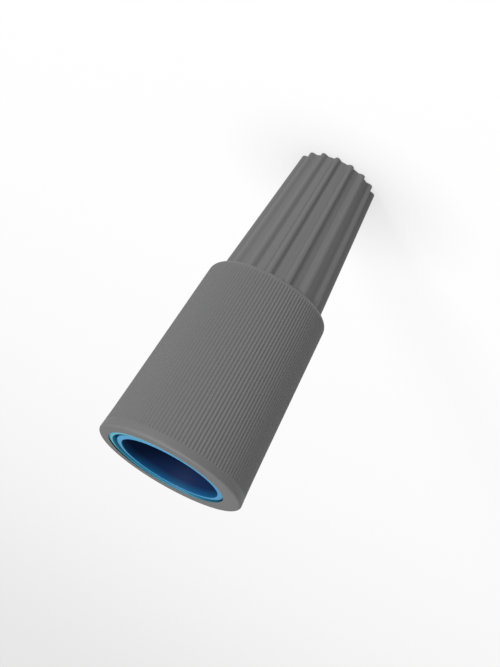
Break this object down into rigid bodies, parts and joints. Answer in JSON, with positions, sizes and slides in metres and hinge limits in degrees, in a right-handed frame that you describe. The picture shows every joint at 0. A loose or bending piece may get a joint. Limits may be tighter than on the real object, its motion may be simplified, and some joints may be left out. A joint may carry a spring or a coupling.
{
  "type": "twist wire connector",
  "caption": "Twist-on wire connector: closed fluted cap, ribbed flexible skirt, rigid liner with a funnel-shaped wire guide, and a conical square-wire spring that threads onto bared wires.",
  "frame": {"origin": "centre of the closed cap's flat end", "axes": "+Z along the connector's axis, out of the open mouth; one flute ridge points along +X"},
  "size_m": [0.0192, 0.0192, 0.0441],
  "materials": {
    "cap_plastic": "fine matt moulded texture",
    "skirt_rubber": "matt flexible plastic with fine ribs",
    "liner_plastic": "satin moulded plastic",
    "guide_plastic": "satin moulded plastic",
    "spring_steel": "zinc-plated drawn wire"
  },
  "bodies": {
    "shell": {"fluted_cap": "cap_plastic", "grip_skirt": "skirt_rubber", "inner_liner": "liner_plastic", "wire_guide": "guide_plastic"},
    "coil": {"spring": "spring_steel"}
  },
  "joints": [
    {"name": "spring_unwind", "type": "hinge", "parent": "shell", "child": "coil", "pos_m": [0, 0, 0.015], "axis": [0, 0, -1], "range_deg": [0, 90], "stiffness_Nm_per_rad": 0.001}
  ]
}
